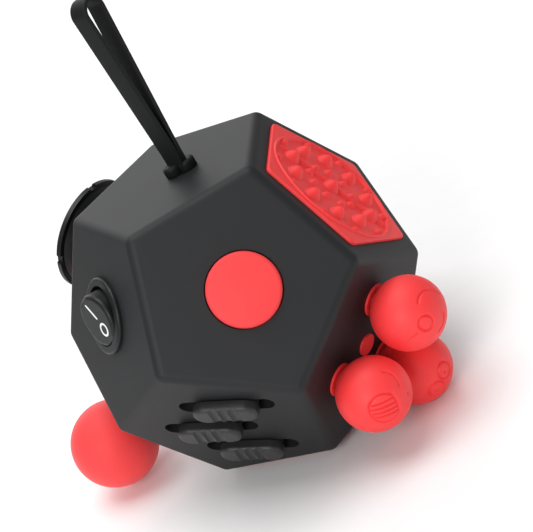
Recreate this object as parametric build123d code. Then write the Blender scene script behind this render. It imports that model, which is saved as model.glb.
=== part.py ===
from build123d import *
import math
import os

os.makedirs("parts", exist_ok=True)

# A twelve-sided fidget toy. Units are millimetres, +Z is up and the toy stands on its lowest face.
# Each face carries one mechanism, drawn in that face's own frame: x and y lie in the face, z points
# out of it, and z = 0 is the outside of the shell.

# Body: a regular dodecahedron, moulded as two hollow halves that meet along a zigzag of ten edges.
ACROSS = 60.0
WALL = 2.2
EDGE_ROUND = 2.2
REST_PROUD = 1.6

# Clearances: beside a part that moves, and between a pin and its bore. FUSE is how far an inner
# feature runs into the wall that it grows from, and THROUGH how far a cut reaches past a wall.
GAP = 0.3
RUNNING = 0.05
FUSE = 0.4
THROUGH = 6.0

# Retaining plates behind the faces, and the screws that hold them to bosses inside the shell.
BOSS_R = 1.6
SCREW_R = 0.8
SCREW_HEAD_R = 1.45
SCREW_HEAD_H = 0.9
SCREW_BITE = 2.6
SCREW_SLACK = 0.1
CROSS_LENGTH = 1.6
CROSS_WIDTH = 0.4
CROSS_DEPTH = 0.45
PLATE = 1.4
LUG_DEPTH = 6.6
LUG_AT = 13.0
LUG_R = 2.4
SINK_R = 1.6
SINK_DEPTH = 0.8

# Large click button.
BUTTON_R = 7.25
BUTTON_AT = (0.58, -0.82)
BUTTON_PROUD = 1.5
BUTTON_FLANGE_R = 8.5
BUTTON_CUP_R = 5.4
BUTTON_SKIN = 0.9
BUTTON_SKIRT = 3.6
BUTTON_SPRING_R = 3.2
SPRING_WIRE = 0.3

# Round rocker switch. It is stored with its I side up and its O side down.
ROCKER_AT = (-0.4, 1.1)
ROCKER_BEZEL_R = 7.8
ROCKER_BODY_R = 6.9
ROCKER_WELL_R = 6.1
ROCKER_PADDLE_R = 5.5
ROCKER_TURN = 127.0
ROCKER_SWEEP_R = 5.85
ROCKER_TOP = 2.4
ROCKER_HOLLOW = 3.0
ROCKER_THROW = 16.0
ROCKER_PIN_R = 0.6
ROCKER_PIN_DEPTH = 0.6
ROCKER_WELL = 8.3

# Three sliding switches in parallel slots.
SLOT_LENGTH = 19.1
SLOT_WIDTH = 4.1
SLOT_TURN = -18.0
SLOT_CENTRES = ((5.4, 8.3), (-3.1, 1.4), (-0.3, -9.1))
SLIDE = 3.0
GRIP_LENGTH = 13.1
GRIP_WIDTH = 5.5
GRIP_PROUD = 2.5
GRIP_GROOVES = (-1.95, 0.0, 1.95)
GRIP_GROOVE_R = 1.1
SHOE_DEPTH = 4.6
SHOE_WIDTH = 5.6

# Three soft balls on short necks.
BALL_R = 7.44
BALL_HEIGHT = 7.75
BALL_RING_R = 9.75
BALL_ANGLES = (65.0, 185.0, 305.0)
BALL_NECK_R = 1.9
BALL_HOLE_R = 2.45
BALL_COLLAR_R = 3.4
BALL_COLLAR_H = 0.45
BALL_BARB_R = 3.2
STUD_SHANK_R = 1.95

# Studded silicone pad and concave worry pad, each set in a pentagonal pocket.
PAD_R = 18.4
PAD_CORNER = 1.4
PAD_TURN = 54.0
PAD_PROUD = 0.7
POCKET = 1.0
STUD_RINGS = ((6, 5.2, 1.7), (11, 10.6, 1.5))
STUD_TIP_R = 0.35
STUD_HEIGHT = 1.75
DISH_RIM_R = 11.6
DISH_DEPTH = 1.5

# Three thumb wheels on one axle, and a steel roller ball.
WHEEL_R = 6.0
WHEEL_WIDTH = 2.8
WHEEL_GAP = 0.4
WHEEL_DEPTH = 3.2
WHEEL_AT = (0.0, 3.2)
WHEEL_NOTCHES = 16
WHEEL_NOTCH_R = 0.75
AXLE_R = 1.0
CHEEK = 1.4
ROLLER_R = 3.6
ROLLER_AT = (0.0, -8.6)
ROLLER_DEPTH = 2.3

# Turning dial on a post.
DIAL_R = 12.14
DIAL_TOP = 9.4
DIAL_RIM = 1.3
DIAL_NOTCHES = 4
DIAL_NOTCH_TURN = 100.0
DIAL_UNDER = 1.4
DIAL_SHAFT_R = 2.4
DIAL_SOCKET = 6.0
DIAL_PAD_R = 7.8
DIAL_PAD_SEAT = 0.6
BUSH_R = 3.95
DETENT_R = 5.0
DETENT_TOP = 5.6
DETENTS = 12

# Joystick: a ball knob on a stem in a gimbal.
KNOB_R = 9.6
KNOB_HEIGHT = 17.0
STEM_R = 2.2
STEM_TOP = 14.0
GIMBAL_DEPTH = 5.0
GIMBAL_R = 5.8
GIMBAL_BORE_R = 4.6
GIMBAL_HEIGHT = 2.2
GIMBAL_PIN_R = 0.75
CRADLE_R = 8.8
CRADLE_BORE_R = 7.2
CRADLE_FLOOR = 11.6

# Five small click buttons.
FIVE_R = 2.9
FIVE_RING_R = 8.2
FIVE_ANGLES = tuple(range(18, 378, 72))
FIVE_PROUD = 1.1
FIVE_SKIRT = 3.4

# Spinning disc on a small ball bearing.
SPINNER_R = 12.5
SPINNER_PROUD = 2.6
SPINNER_DIMPLES = 5
BEARING_R = 6.0
BEARING_RACE_R = 4.6
BEARING_HUB_R = 2.9
BEARING_BORE_R = 1.5
BEARING_WIDTH = 3.0
BEARING_DEPTH = 5.4
BALL_TRACK_R = 3.75
BEARING_BALLS = 8

# Carrying strap: a moulded ribbon loop on a round-ended root.
STRAP_AT = (2.3, -1.5)
STRAP_TURN = -50.2
STRAP_WIDTH = 4.4
STRAP_THICK = 0.95
STRAP_HEIGHT = 39.0
STRAP_SPREAD = 3.9
STRAP_EYE_FROM = 0.52
STRAP_ROOT_LENGTH = 6.4
STRAP_ROOT_WIDTH = 4.6
STRAP_STEM_WIDTH = 2.6
COLLAR_HEIGHT = 2.2
CROSS_PIN_R = 0.75
CROSS_PIN_DEPTH = 3.0

INRADIUS = ACROSS / 2
EDGE = INRADIUS / math.sqrt((25 + 11 * math.sqrt(5)) / 40)
FACE_CORNER = math.sqrt((5 + math.sqrt(5)) / 10)
SLANT = 1 / math.sqrt(5)
CENTRE = Vector(0, 0, INRADIUS + REST_PROUD)
INSIDE = -WALL
LOW_MIDDLE = (Align.CENTER, Align.CENTER, Align.MIN)


# ---------------------------------------------------------------- frames and plain shapes
def face_plane(azimuth, ring):
    """The frame of one face: azimuth is counted from +X, and ring is top, base, upper or lower."""
    if ring in ("top", "base"):
        normal = Vector(0, 0, 1 if ring == "top" else -1)
        up = Vector(0, 1, 0)
    else:
        rise = SLANT if ring == "upper" else -SLANT
        turn = math.radians(azimuth)
        flat = math.sqrt(1 - rise * rise)
        normal = Vector(flat * math.cos(turn), flat * math.sin(turn), rise)
        up = (Vector(0, 0, 1) - normal * rise).normalized()
    return Plane(origin=CENTRE + normal * INRADIUS, x_dir=up.cross(normal), z_dir=normal)


FACES = {
    "strap": face_plane(0, "top"),
    "button": face_plane(-90, "upper"),
    "pad": face_plane(-18, "upper"),
    "wheels": face_plane(54, "upper"),
    "dial": face_plane(126, "upper"),
    "rocker": face_plane(198, "upper"),
    "sliders": face_plane(-126, "lower"),
    "balls": face_plane(-54, "lower"),
    "five": face_plane(18, "lower"),
    "spinner": face_plane(90, "lower"),
    "joystick": face_plane(162, "lower"),
    "worry": face_plane(0, "base"),
}
FRONT_FACES = ("button", "strap", "pad", "balls", "sliders", "rocker")


def place(face, shape, at=(0, 0), turn=0.0):
    """A shape drawn in a face's frame, put where it belongs on the toy."""
    return FACES[face].location * Pos(at[0], at[1], 0) * Rot(0, 0, turn) * shape


def disc(radius, low, high):
    return Pos(0, 0, low) * Cylinder(radius, high - low, align=LOW_MIDDLE)


def ring(outer, inner, low, high):
    return disc(outer, low, high) - disc(inner, low - 1, high + 1)


def block(length, width, low, high):
    return Pos(0, 0, low) * Box(length, width, high - low, align=LOW_MIDDLE)


def stadium(length, width, low, high):
    """A bar with round ends along x."""
    return Pos(0, 0, low) * extrude(SlotOverall(length, width), high - low)


def pentagon(radius, low, high, turn, corner):
    outline = fillet(RegularPolygon(radius, 5, rotation=turn).vertices(), corner)
    return Pos(0, 0, low) * extrude(outline, high - low)


def turned(outline):
    """A solid of revolution about z, from points given as (radius, height)."""
    wire = Polyline([Vector(r, 0, z) for r, z in outline], close=True)
    return revolve(make_face(wire), axis=Axis.Z)


def polar(radius, angle):
    turn = math.radians(angle)
    return (radius * math.cos(turn), radius * math.sin(turn))


def around(radius, angles):
    return [polar(radius, angle) for angle in angles]


def spread(shape, places):
    """Copies of one shape at several places, as one group of solids."""
    return Compound([Pos(x, y, 0) * shape for x, y in places])


def coil(radius, wire, low, high, turns):
    """A coil spring of round wire, as a stack of closed turns."""
    pitch = (high - low - 2 * wire) / (turns - 1)
    rings = [Pos(0, 0, low + wire + i * pitch) * Torus(radius, wire) for i in range(turns)]
    post = ring(radius + wire * 0.55, radius - wire * 0.55, low + wire, high - wire)
    for one in rings:
        post = post + one
    return post


def cross_recess(low, high):
    slot = block(CROSS_LENGTH, CROSS_WIDTH, low, high)
    return slot + Rot(0, 0, 90) * slot


def screw(seat, length):
    """A pan-head screw with a cross recess, driven along +z, with its head under z = seat."""
    crown = seat - SCREW_HEAD_H
    head = disc(SCREW_HEAD_R, crown, seat)
    head = fillet(head.edges().group_by(Axis.Z)[0], 0.35)
    shank = disc(SCREW_R - 0.02, seat, seat + length)
    return head + shank - cross_recess(crown - 1, crown + CROSS_DEPTH)


def bosses(places, depth):
    """Screw bosses on the inside of a face, down to z = -depth."""
    boss = ring(BOSS_R, SCREW_R, -depth, INSIDE + FUSE)
    return spread(boss, places)


def retaining_plate(radius, depth, places):
    """A round plate screwed to the bosses behind a face."""
    hole = disc(SCREW_R + SCREW_SLACK, -depth - PLATE - 1, -depth + 1)
    return disc(radius, -depth - PLATE, -depth) - spread(hole, places)


def offset(places, centre):
    return [(x + centre[0], y + centre[1]) for x, y in places]


def swung(places, angle):
    """Places turned about the face's middle."""
    turn = math.radians(angle)
    c, s = math.cos(turn), math.sin(turn)
    return [(x * c - y * s, x * s + y * c) for x, y in places]


# Screw places behind the faces, in each face's own frame, and how deep each plate sits.
GUIDE_SCREWS = around(10.6, (90, 210, 330))
BUTTON_BOSSES = offset(GUIDE_SCREWS, BUTTON_AT)
SLIDER_BOSSES = swung([(-8.5, 5.0), (8.5, 5.0), (-8.5, -4.2), (8.5, -4.2)], SLOT_TURN)
BALL_BOSSES = around(11.0, (125, 245, 5))
WHEEL_BOSSES = [(-9.0, 0.5), (9.0, 0.5)]
JOYSTICK_BOSSES = around(11.2, (90, 210, 330))
FIVE_BOSSES = around(10.9, (54, 198, 270))
SPINNER_BOSSES = around(9.4, (90, 210, 330))

BUTTON_PLATE = 6.4
SLIDER_PLATE = 5.9
BALL_PLATE = 5.4
WHEEL_PLATE = 10.4
JOYSTICK_PLATE = 4.9
FIVE_PLATE = 6.2
SPINNER_PLATE = 6.0


# ---------------------------------------------------------------- shell
def dodecahedron(inradius):
    solid = Sphere(inradius * 1.6)
    for plane in FACES.values():
        cut = Plane(origin=plane.z_dir * inradius, x_dir=plane.x_dir, z_dir=plane.z_dir)
        solid = split(solid, cut, keep=Keep.BOTTOM)
    return solid


def front_region():
    """Everything nearer to the six front faces than to the rest: a solid with its tip at the centre."""
    lids = []
    for name in FRONT_FACES:
        plane = FACES[name]
        lid = Plane(origin=plane.z_dir * INRADIUS * 1.2, x_dir=plane.x_dir, z_dir=plane.z_dir)
        start = 54 if plane.z_dir.Z > 0 and name != "strap" else 18
        corners = around(EDGE * FACE_CORNER * 1.2, range(start, start + 360, 72))
        lids.append([lid.from_local_coords(Vector(x, y, 0)) for x, y in corners])
    edges = [(lid[i], lid[(i + 1) % 5]) for lid in lids for i in range(5)]
    rim = [(a, b) for a, b in edges if not any((a - d).length + (b - c).length < 1e-3 for c, d in edges)]
    walls = [polygon([Vector(0, 0, 0), a, b]) for a, b in rim]
    return Solid(Shell([polygon(lid) for lid in lids] + walls))


def polygon(points):
    return Face(Wire.make_polygon(points, close=True))


def shell_screw(face, at):
    """A countersunk screw down through a pocket floor into a lug on the other half of the shell."""
    top = -POCKET - RUNNING
    foot = top - SINK_DEPTH
    head = turned([(0, top), (SINK_R, top), (SCREW_R, foot), (0, foot)])
    shank = disc(SCREW_R - 0.02, -LUG_DEPTH + FUSE, foot + RUNNING)
    return place(face, head + shank - cross_recess(top - CROSS_DEPTH, 0), at)


def shell_screw_hole(face, at):
    top = -POCKET - RUNNING
    wide = SINK_R + 0.15
    narrow = SCREW_R + 0.15
    cone = turned([(0, top + GAP), (wide, top + GAP), (wide, top), (narrow, top - SINK_DEPTH),
                   (narrow, INSIDE - GAP), (0, INSIDE - GAP)])
    return place(face, cone, at)


def shell_lug(face, at, angle):
    """A lug under a pocket floor that reaches across from the neighbouring wall at that angle."""
    top = INSIDE - 0.25
    post = disc(LUG_R, -LUG_DEPTH, top)
    arm = Rot(0, 0, angle) * Pos(LUG_R + 1.1, 0, 0) * block(2 * LUG_R + 2.2, LUG_R + 0.8, -LUG_DEPTH, top)
    return place(face, post + arm, at) - place(face, disc(SCREW_R, -LUG_DEPTH - 1, 0), at)


def by_edge(angle, along):
    """A screw place near the edge at that angle, moved along the edge, with the angle itself."""
    x, y = polar(LUG_AT, angle)
    dx, dy = polar(along, angle + 90)
    return (x + dx, y + dy), angle


PAD_SCREWS = [by_edge(18, 0), by_edge(306, 0)]
WORRY_SCREWS = [by_edge(234, 0), by_edge(306, 5.0)]


def shell_openings(face):
    """What is cut through one face of the shell."""
    if face == "button":
        return place(face, disc(BUTTON_R + GAP, -THROUGH, THROUGH), BUTTON_AT)
    if face == "strap":
        length, width = STRAP_ROOT_WIDTH + GAP, STRAP_STEM_WIDTH + GAP
        return place(face, stadium(length, width, -THROUGH, THROUGH), STRAP_AT, STRAP_TURN)
    if face == "rocker":
        return place(face, disc(ROCKER_BODY_R + RUNNING, -THROUGH, THROUGH), ROCKER_AT)
    if face == "sliders":
        slot = Rot(0, 0, SLOT_TURN) * stadium(SLOT_LENGTH, SLOT_WIDTH, -THROUGH, THROUGH)
        return place(face, spread(slot, SLOT_CENTRES))
    if face == "balls":
        middle = disc(STUD_SHANK_R + RUNNING, -THROUGH, THROUGH)
        neck = disc(BALL_HOLE_R, -THROUGH, THROUGH)
        return place(face, Compound([middle, spread(neck, around(BALL_RING_R, BALL_ANGLES))]))
    if face in ("pad", "worry"):
        cut = place(face, pentagon(PAD_R + GAP / 2, -POCKET, THROUGH, PAD_TURN, PAD_CORNER))
        for at, _ in PAD_SCREWS if face == "pad" else WORRY_SCREWS:
            cut = cut + shell_screw_hole(face, at)
        return cut
    if face == "wheels":
        width = 3 * WHEEL_WIDTH + 4 * WHEEL_GAP
        length = 2 * math.sqrt(WHEEL_R ** 2 - WHEEL_DEPTH ** 2) + 1.9
        slot = place(face, block(width, length, -THROUGH, THROUGH), WHEEL_AT)
        return slot + place(face, Pos(0, 0, -ROLLER_DEPTH) * Sphere(ROLLER_R + 0.25), ROLLER_AT)
    if face == "dial":
        return place(face, disc(BUSH_R + RUNNING, -THROUGH, THROUGH))
    if face == "joystick":
        mouth, throat = 6.4, 4.9
        return place(face, turned([(0, 1), (mouth, 1), (mouth, 0), (throat, -1.2), (throat, -THROUGH),
                                   (0, -THROUGH)]))
    if face == "five":
        return place(face, spread(disc(FIVE_R + GAP, -THROUGH, THROUGH), around(FIVE_RING_R, FIVE_ANGLES)))
    return place(face, disc(BEARING_HUB_R + 0.5, -THROUGH, THROUGH))


def make_shells():
    outer = dodecahedron(INRADIUS)
    outer = fillet(outer.edges(), EDGE_ROUND)
    inner = dodecahedron(INRADIUS - WALL)
    hollow = Pos(*CENTRE) * (outer - inner)
    cavity = Pos(*CENTRE) * dodecahedron(INRADIUS - WALL + FUSE)
    region = Pos(*CENTRE) * front_region()
    front = hollow & region
    rear = hollow - region
    inside = {
        "button": bosses(BUTTON_BOSSES, BUTTON_PLATE),
        "sliders": bosses(SLIDER_BOSSES, SLIDER_PLATE),
        "balls": bosses(BALL_BOSSES, BALL_PLATE),
        "wheels": bosses(WHEEL_BOSSES, WHEEL_PLATE),
        "joystick": bosses(JOYSTICK_BOSSES, JOYSTICK_PLATE),
        "five": bosses(FIVE_BOSSES, FIVE_PLATE),
        "spinner": bosses(SPINNER_BOSSES, SPINNER_PLATE),
    }
    for face, group in inside.items():
        for boss in place(face, group).solids():
            if face in FRONT_FACES:
                front = front + boss
            else:
                rear = rear + boss
    for at, angle in WORRY_SCREWS:
        front = front + (shell_lug("worry", at, angle) & cavity)
    for at, angle in PAD_SCREWS:
        rear = rear + (shell_lug("pad", at, angle) & cavity)
    for face in FACES:
        if face in FRONT_FACES:
            front = front - shell_openings(face)
        else:
            rear = rear - shell_openings(face)
    return front, rear


# ---------------------------------------------------------------- click button
def make_click_button():
    """A hollow cap with a low crown, a rounded edge and a flange that keeps it in its hole."""
    edge = BUTTON_PROUD - 1.15
    rim = BUTTON_R - 0.75
    rim_height = edge + 0.8
    crown_r = (rim ** 2 + (BUTTON_PROUD - rim_height) ** 2) / (2 * (BUTTON_PROUD - rim_height))
    half_way = BUTTON_PROUD - crown_r + math.sqrt(crown_r ** 2 - (rim / 2) ** 2)
    flange = -BUTTON_SKIRT + 1.1
    sides = Polyline((0, 0, -BUTTON_SKIN), (BUTTON_CUP_R, 0, -BUTTON_SKIN), (BUTTON_CUP_R, 0, -BUTTON_SKIRT),
                     (BUTTON_FLANGE_R, 0, -BUTTON_SKIRT), (BUTTON_FLANGE_R, 0, flange),
                     (BUTTON_R, 0, flange), (BUTTON_R, 0, edge))
    round_edge = ThreePointArc((BUTTON_R, 0, edge), (BUTTON_R - 0.2, 0, edge + 0.55), (rim, 0, rim_height))
    crown = ThreePointArc((rim, 0, rim_height), (rim / 2, 0, half_way), (0, 0, BUTTON_PROUD))
    middle = Line((0, 0, BUTTON_PROUD), (0, 0, -BUTTON_SKIN))
    return revolve(make_face(sides + round_edge + crown + middle), axis=Axis.Z)


def make_button_guide():
    """The plate under the button, with a lip that keeps the spring in the middle."""
    plate = retaining_plate(12.3, BUTTON_PLATE, GUIDE_SCREWS)
    lip_r = BUTTON_SPRING_R + SPRING_WIRE
    lip = ring(lip_r + 0.9, lip_r + 0.4, -BUTTON_PLATE - RUNNING, -BUTTON_PLATE + 0.9)
    return plate + lip - disc(2.0, -THROUGH - PLATE - 2, 0)


# ---------------------------------------------------------------- rocker switch
def rocker_bore(radius, length):
    return Rot(90, 0, 0) * Pos(0, -ROCKER_PIN_DEPTH, 0) * Cylinder(radius, length)


def make_rocker_bezel():
    """The switch's body: a flanged barrel with two snap catches that grip the wall from inside."""
    flange = disc(ROCKER_BEZEL_R, 0, 1.0)
    flange = fillet(flange.edges().group_by(Axis.Z)[-1], 0.6)
    barrel = disc(ROCKER_BODY_R, -ROCKER_WELL - 1.2, 0.1)
    catch = block(4.0, 2 * ROCKER_BODY_R + 1.6, INSIDE - PLATE, INSIDE - 0.1)
    catch = catch - disc(ROCKER_BODY_R - 0.5, -THROUGH, 0)
    well = disc(ROCKER_WELL_R, -ROCKER_WELL, THROUGH)
    return flange + barrel + catch - well - rocker_bore(ROCKER_PIN_R + RUNNING, 14)


def make_rocker_paddle():
    """The paddle, drawn with its throw centred: two slopes that meet in a shallow valley over the
    pin, and sides rounded about the pin so that they clear the bezel all the way."""
    body = disc(ROCKER_PADDLE_R, -3.0, THROUGH) & rocker_bore(ROCKER_SWEEP_R, 14)
    for side in (-1, 1):
        slope = Rot(0, -side * ROCKER_HOLLOW, 0) * Pos(side * 10, 0, 5) * Box(20, 20, 10)
        body = body - Pos(0, 0, ROCKER_TOP) * slope
    contact = disc(0.9, -5.2, -2.9)
    return body + contact - rocker_bore(ROCKER_PIN_R + RUNNING, 14)


def tip(shape, angle):
    """Turns a shape about the rocker's pin."""
    return Pos(0, 0, -ROCKER_PIN_DEPTH) * Rot(0, angle, 0) * Pos(0, 0, ROCKER_PIN_DEPTH) * shape


# ---------------------------------------------------------------- sliders
GRIP_STEM = (SLOT_LENGTH - 2 * SLIDE - 2 * GAP, SLOT_WIDTH - 2 * GAP)


def make_slider_grip():
    """The thumb piece: a ribbed cap over the slot on a stem that runs in it."""
    stem = stadium(*GRIP_STEM, -SHOE_DEPTH + PLATE, FUSE)
    cap = stadium(GRIP_LENGTH, GRIP_WIDTH, GAP, GRIP_PROUD)
    grip = fillet(cap.edges().group_by(Axis.Z)[-1], 0.9) + stem
    for x in GRIP_GROOVES:
        groove = Rot(90, 0, 0) * Cylinder(GRIP_GROOVE_R, 20)
        grip = grip - Pos(x, 0, GRIP_PROUD + GRIP_GROOVE_R / 2) * groove
    return grip


def make_slider_shoe():
    """The runner pressed on the stem behind the wall, which keeps the grip in its slot."""
    shoe = stadium(GRIP_STEM[0] + 1.0, SHOE_WIDTH, -SHOE_DEPTH, INSIDE - GAP)
    return shoe - stadium(*GRIP_STEM, -SHOE_DEPTH + PLATE, 0)


# ---------------------------------------------------------------- soft balls
def make_squeeze_ball():
    """A ball on a short neck, with a barb behind the wall."""
    ball = Pos(0, 0, BALL_HEIGHT) * Sphere(BALL_R)
    neck = disc(BALL_NECK_R, -3.1, BALL_HEIGHT - BALL_R + 1.0)
    barb = turned([(0, -4.3), (BALL_BARB_R / 2, -4.3), (BALL_BARB_R, -3.4), (BALL_BARB_R, -2.8), (0, -2.8)])
    return ball + neck + barb


def make_ball_collars():
    """The flat rings that edge the three neck holes."""
    return spread(ring(BALL_COLLAR_R, BALL_HOLE_R, 0, BALL_COLLAR_H), around(BALL_RING_R, BALL_ANGLES))


def make_ball_stud():
    return disc(STUD_SHANK_R, -BALL_PLATE, 0.1) + disc(STUD_SHANK_R + 0.35, 0, 0.5)


# ---------------------------------------------------------------- pads
def make_nub_pad():
    """The studded pad that fills its pocket and stands a little proud of the wall."""
    pad = pentagon(PAD_R, -POCKET, PAD_PROUD, PAD_TURN, PAD_CORNER)
    pad = fillet(pad.edges().group_by(Axis.Z)[-1], 0.35)
    for count, radius, size in STUD_RINGS:
        stud = Pos(0, 0, PAD_PROUD - RUNNING) * Cone(size, STUD_TIP_R, STUD_HEIGHT, align=LOW_MIDDLE)
        for angle in range(count):
            x, y = polar(radius, 18 + angle * 360 / count)
            pad = pad + Pos(x, y, 0) * stud
    return pad


def make_worry_pad():
    """The dished pad that the toy stands on, proud enough to clear what sticks out beside it."""
    pad = pentagon(PAD_R, -POCKET, REST_PROUD, PAD_TURN, PAD_CORNER)
    pad = fillet(pad.edges().group_by(Axis.Z)[-1], 0.4)
    dish_r = (DISH_RIM_R ** 2 + DISH_DEPTH ** 2) / (2 * DISH_DEPTH)
    return pad - Pos(0, 0, REST_PROUD - DISH_DEPTH + dish_r) * Sphere(dish_r)


# ---------------------------------------------------------------- thumb wheels and roller ball
def make_wheel(offset):
    wheel = Cylinder(WHEEL_R, WHEEL_WIDTH)
    wheel = fillet(wheel.edges(), 0.3) - Cylinder(AXLE_R + RUNNING, WHEEL_WIDTH + 2)
    for i in range(WHEEL_NOTCHES):
        x, y = polar(WHEEL_R + 0.25, i * 360 / WHEEL_NOTCHES)
        wheel = wheel - Pos(x, y, 0) * Cylinder(WHEEL_NOTCH_R, WHEEL_WIDTH + 2)
    return Pos(offset, 0, -WHEEL_DEPTH) * Rot(0, 90, 0) * wheel


CHEEK_AT = 1.5 * WHEEL_WIDTH + WHEEL_GAP + GAP


def make_axle(length):
    return Pos(0, 0, -WHEEL_DEPTH) * Rot(0, 90, 0) * Cylinder(AXLE_R, length)


def make_wheel_frame():
    """The plate behind the wheels, with two cheeks that hold the axle and a cup for the ball."""
    frame = retaining_plate(10.9, WHEEL_PLATE, WHEEL_BOSSES)
    for side in (-1, 1):
        x = side * (CHEEK_AT + CHEEK / 2)
        frame = frame + Pos(x, WHEEL_AT[1], 0) * block(CHEEK, 5.0, -WHEEL_PLATE - RUNNING, INSIDE - 0.2)
    cup = Pos(*ROLLER_AT, 0) * disc(2.2, -WHEEL_PLATE - RUNNING, -ROLLER_DEPTH - 2.0)
    ball = Pos(*ROLLER_AT, -ROLLER_DEPTH) * Sphere(ROLLER_R + 0.08)
    return frame + cup - Pos(*WHEEL_AT, 0) * make_axle(30) - ball


# ---------------------------------------------------------------- dial
def make_dial_cap():
    """A mushroom cap with thumb notches in its rim and a seat for the pad on top."""
    under = DIAL_TOP - DIAL_RIM
    seat = DIAL_TOP - DIAL_PAD_SEAT
    cap = turned([(0, DIAL_UNDER), (4.6, DIAL_UNDER), (5.4, DIAL_UNDER + 0.8), (10.9, under), (DIAL_R, under),
                  (DIAL_R, DIAL_TOP - 0.3), (DIAL_R - 0.3, DIAL_TOP), (DIAL_PAD_R + 0.8, DIAL_TOP),
                  (DIAL_PAD_R + 0.2, seat), (0, seat)])
    notch = Pos(DIAL_R + 0.35, 0, 0) * block(2.0, 1.9, under - 1, DIAL_TOP + 1)
    for i in range(DIAL_NOTCHES):
        cap = cap - Rot(0, 0, DIAL_NOTCH_TURN + i * 360 / DIAL_NOTCHES) * notch
    return cap - disc(DIAL_SHAFT_R, 0, DIAL_SOCKET)


def make_dial_pad():
    pad = disc(DIAL_PAD_R, DIAL_TOP - DIAL_PAD_SEAT, DIAL_TOP + 0.35)
    pad = fillet(pad.edges().group_by(Axis.Z)[-1], 0.3)
    for radius in (2.2, 4.2, 6.2):
        pad = pad - ring(radius + 0.35, radius - 0.35, DIAL_TOP + 0.1, DIAL_TOP + 1)
    return pad


def make_dial_bush():
    """The bush that the shaft turns in, with a shoulder outside the wall."""
    return disc(BUSH_R, -DETENT_TOP + 0.2, 0.2) + disc(6.0, 0, 0.9) - disc(DIAL_SHAFT_R + RUNNING, -7, 3)


def make_dial_nut():
    return Pos(0, 0, -4.0) * extrude(RegularPolygon(6.2, 6), 1.5) - disc(BUSH_R, -5, 0)


def make_detent_wheel():
    """The notched wheel pressed on the shaft's inner end, which also keeps the dial in."""
    wheel = disc(DETENT_R, -DETENT_TOP - 0.7, -DETENT_TOP)
    notch = disc(0.7, -DETENT_TOP - 1, -DETENT_TOP + 1)
    wheel = wheel - spread(notch, around(DETENT_R + 0.2, range(0, 360, 360 // DETENTS)))
    return wheel - disc(DIAL_SHAFT_R, -7, -5)


def make_detent_leaf():
    """A steel leaf whose tip sits beside the detent wheel, screwed flat to the wall."""
    foot = Pos(9.0, 0, 0) * block(3.0, 4.0, INSIDE - 0.4, INSIDE)
    arm = Pos(7.8, 0, 0) * block(0.4, 4.0, -6.4, INSIDE - 0.1)
    bead = Pos(DETENT_R + 2.1, 0, -DETENT_TOP - 0.35) * Rot(90, 0, 0) * Cylinder(0.9, 3.0)
    return foot + arm + bead - Pos(9.6, 0, 0) * disc(0.4, -5, 0)


# ---------------------------------------------------------------- joystick
def at_gimbal(shape):
    return Pos(0, 0, -GIMBAL_DEPTH) * shape


def make_joystick_stem():
    """The steel stem, with the hub and the pair of pins that it tilts on."""
    stem = disc(STEM_R, -GIMBAL_DEPTH, STEM_TOP) + disc(1.5, -10.2, -GIMBAL_DEPTH)
    pins = Rot(0, 90, 0) * Cylinder(GIMBAL_PIN_R, 2 * (GIMBAL_R - 0.3))
    return stem + at_gimbal(Cylinder(3.4, GIMBAL_HEIGHT)) + at_gimbal(pins)


def make_joystick_knob():
    return Pos(0, 0, KNOB_HEIGHT) * Sphere(KNOB_R) - disc(STEM_R, 0, STEM_TOP)


def make_gimbal_ring():
    """The ring between the stem and the cradle: bored one way, with pins the other way."""
    band = Cylinder(GIMBAL_R, GIMBAL_HEIGHT) - Cylinder(GIMBAL_BORE_R, GIMBAL_HEIGHT + 2)
    bore = Rot(0, 90, 0) * Cylinder(GIMBAL_PIN_R + RUNNING, 20)
    pins = Rot(90, 0, 0) * Cylinder(GIMBAL_PIN_R, 2 * (CRADLE_R - 0.8)) - Cylinder(GIMBAL_R - 1, 6)
    return at_gimbal(band + pins - bore)


def make_joystick_cradle():
    """The cup behind the wall that carries the gimbal's pins and the centring spring."""
    floor = disc(CRADLE_R, -CRADLE_FLOOR - 1, -CRADLE_FLOOR + 0.1)
    cup = ring(CRADLE_R, CRADLE_BORE_R, -CRADLE_FLOOR, INSIDE) + floor
    flange = retaining_plate(13.0, JOYSTICK_PLATE, JOYSTICK_BOSSES) - disc(CRADLE_BORE_R, -9, 0)
    bore = at_gimbal(Rot(90, 0, 0) * Cylinder(GIMBAL_PIN_R + RUNNING, 20))
    return cup + flange - bore


# ---------------------------------------------------------------- five small buttons
def make_small_button():
    cap = disc(FIVE_R, -FIVE_SKIRT + 0.8, FIVE_PROUD)
    cap = fillet(cap.edges().group_by(Axis.Z)[-1], 0.6)
    return cap + disc(FIVE_R + 0.9, -FIVE_SKIRT, -FIVE_SKIRT + 0.9)


def make_dome_sheet():
    """A rubber sheet with a dome under each button, which gives the click and lifts it again."""
    top = -FIVE_PLATE + 0.6
    sheet = disc(12.8, -FIVE_PLATE, top)
    dome = turned([(0, top - 0.1), (FIVE_R, top - 0.1), (1.8, -FIVE_SKIRT - 0.4), (0, -FIVE_SKIRT - 0.4)])
    for x, y in around(FIVE_RING_R, FIVE_ANGLES):
        sheet = sheet + Pos(x, y, 0) * dome
    return sheet - spread(disc(BOSS_R + 0.15, -9, 0), FIVE_BOSSES)


# ---------------------------------------------------------------- spinner
def make_spinner_disc():
    """A dished disc with a ring of finger dimples, pressed on its pin."""
    body = disc(SPINNER_R, FUSE, SPINNER_PROUD)
    body = fillet(body.edges().group_by(Axis.Z)[-1], 0.8)
    body = body - Pos(0, 0, SPINNER_PROUD + 22.0) * Sphere(23.0)
    for x, y in around(9.2, range(0, 360, 360 // SPINNER_DIMPLES)):
        body = body - Pos(x, y, SPINNER_PROUD + 1.2) * Sphere(2.2)
    return body - disc(1.6, 0, 2)


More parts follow.
